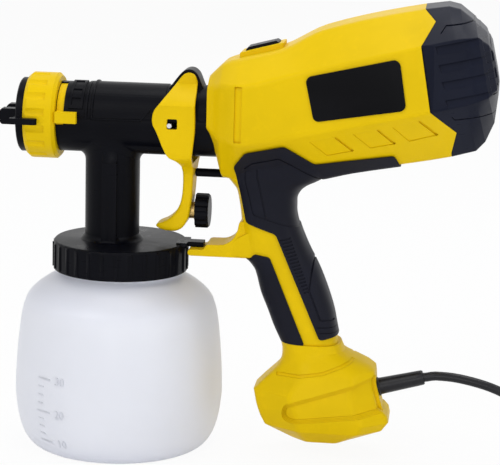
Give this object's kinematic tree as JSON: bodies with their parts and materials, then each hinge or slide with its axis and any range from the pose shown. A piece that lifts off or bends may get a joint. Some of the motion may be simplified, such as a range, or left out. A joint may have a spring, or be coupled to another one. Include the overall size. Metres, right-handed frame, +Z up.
{
  "type": "paint sprayer",
  "caption": "Hand-held electric turbine paint sprayer: yellow and black body with rubber grip, trigger, threaded nozzle ring and a milky cup under the barrel, with a mains cord.",
  "frame": {"origin": "middle of the flat underside of the cup, on the surface the gun stands on", "axes": "+X from the nozzle to the rear of the gun, +Y from the side with the pattern peg to the other side, +Z up"},
  "size_m": [0.4646, 0.1735, 0.2893],
  "materials": {
    "yellow_plastic": "satin moulded plastic, warm yellow",
    "black_plastic": "satin moulded plastic, near black",
    "navy_plastic": "satin moulded plastic, blue-black",
    "grip_rubber": "soft-touch moulded rubber",
    "badge_black": "smooth bare plate, black",
    "cup_plastic": "translucent milky moulded plastic with raised plain numbers",
    "gasket_rubber": "moulded seal",
    "clear_tube": "smooth tube",
    "polished_steel": "polished",
    "zinc_steel": "zinc plated",
    "brass_metal": "turned",
    "cast_aluminium": "machined",
    "copper_winding": "enamelled copper look",
    "magnet_ferrite": "sintered ferrite",
    "filter_sponge": "open foam",
    "cord_rubber": "extruded cord jacket"
  },
  "bodies": {
    "housing": {"housing_near": "yellow_plastic", "housing_far": "yellow_plastic", "housing_screws": "zinc_steel", "grip_rear_near": "grip_rubber", "grip_rear_far": "grip_rubber", "grip_front_near": "grip_rubber", "grip_front_far": "grip_rubber", "badge_near": "badge_black", "badge_far": "badge_black", "latch_spring": "zinc_steel", "plunger_spring": "zinc_steel", "switch_block": "black_plastic", "fan_drum": "black_plastic", "motor_can": "zinc_steel", "motor_magnets": "magnet_ferrite", "motor_endcap": "black_plastic", "brush_holders": "brass_metal", "bearing_front": "polished_steel", "bearing_rear": "polished_steel", "base_foot": "yellow_plastic", "base_screws": "zinc_steel", "strain_relief": "cord_rubber", "cord_stretch": "cord_rubber", "cord_coil": "cord_rubber", "cord_tail": "cord_rubber", "plug_body": "cord_rubber", "plug_blades": "brass_metal"},
    "head": {"head_shell": "black_plastic", "lid_gasket": "gasket_rubber", "suction_tube": "clear_tube", "vent_membrane": "gasket_rubber", "vent_cap": "black_plastic", "fluid_nozzle": "cast_aluminium", "needle_packing": "clear_tube", "packing_nut": "brass_metal", "pivot_pin": "polished_steel", "pivot_clips": "zinc_steel", "needle_spring": "zinc_steel"},
    "air_cap": {"air_cap": "black_plastic"},
    "ring_nut": {"ring_nut": "yellow_plastic"},
    "pattern_ring": {"pattern_ring": "yellow_plastic"},
    "needle": {"needle": "polished_steel", "cross_pin": "polished_steel"},
    "trigger": {"trigger": "yellow_plastic"},
    "flow_stud": {"flow_stud": "brass_metal"},
    "flow_knob": {"flow_knob": "black_plastic"},
    "cup": {"cup": "cup_plastic"},
    "release_button": {"release_button": "black_plastic"},
    "switch_plunger": {"switch_plunger": "black_plastic"},
    "rotor": {"impeller": "cast_aluminium", "motor_shaft": "polished_steel", "armature": "copper_winding", "commutator": "copper_winding"},
    "rear_cover": {"rear_cover": "navy_plastic", "filter_foam": "filter_sponge"}
  },
  "joints": [
    {"name": "head_slide", "type": "slide", "parent": "housing", "child": "head", "axis": [-1, 0, 0], "range_m": [0, 0.06]},
    {"name": "trigger_pull", "type": "hinge", "parent": "head", "child": "trigger", "pos_m": [0.043, 0, 0.2364], "axis": [0, -1, 0], "range_deg": [0, 9.5], "stiffness_Nm_per_rad": 1.2, "springref_deg": -17.19},
    {"name": "needle_pull", "type": "slide", "parent": "head", "child": "needle", "axis": [1, 0, 0], "range_m": [0, 0.006], "deforming": ["needle_spring"]},
    {"name": "plunger_push", "type": "slide", "parent": "housing", "child": "switch_plunger", "axis": [1, 0, 0], "range_m": [0, 0.0115], "deforming": ["plunger_spring"]},
    {"name": "stud_screw", "type": "slide", "parent": "trigger", "child": "flow_stud", "axis": [1, 0, 0], "range_m": [0, 0.002]},
    {"name": "knob_turn", "type": "hinge", "parent": "flow_stud", "child": "flow_knob", "pos_m": [0.052, 0, 0.1537], "axis": [1, 0, 0], "range_deg": [0, 480]},
    {"name": "cap_turn", "type": "hinge", "parent": "head", "child": "air_cap", "pos_m": [-0.06, 0, 0.2106], "axis": [1, 0, 0], "range_deg": [-45, 45]},
    {"name": "nut_turn", "type": "hinge", "parent": "head", "child": "ring_nut", "pos_m": [-0.048, 0, 0.2106], "axis": [1, 0, 0], "range_deg": [0, 360]},
    {"name": "pattern_turn", "type": "hinge", "parent": "head", "child": "pattern_ring", "pos_m": [-0.035, 0, 0.2106], "axis": [-1, 0, 0], "range_deg": [0, 60]},
    {"name": "cup_drop", "type": "slide", "parent": "head", "child": "cup", "axis": [0, 0, -1], "range_m": [0, 0.125]},
    {"name": "button_press", "type": "slide", "parent": "housing", "child": "release_button", "axis": [0, 0, -1], "range_m": [0, 0.0025], "stiffness_N_per_m": 800, "springref_m": -0.002, "deforming": ["latch_spring"]},
    {"name": "cover_pull", "type": "slide", "parent": "housing", "child": "rear_cover", "axis": [0.9744, 0, 0.225], "range_m": [0, 0.05]},
    {"name": "rotor_spin", "type": "hinge", "parent": "housing", "child": "rotor", "pos_m": [0.185, 0, 0.24], "axis": [0.9744, 0, 0.225], "continuous": true}
  ],
  "couplings": [
    {"joint": "needle_pull", "follows": "trigger_pull", "m_per_rad": 0.0261},
    {"joint": "plunger_push", "follows": "trigger_pull", "m_per_rad": 0.0605},
    {"joint": "knob_turn", "follows": "stud_screw", "rad_per_m": 4188.8}
  ]
}
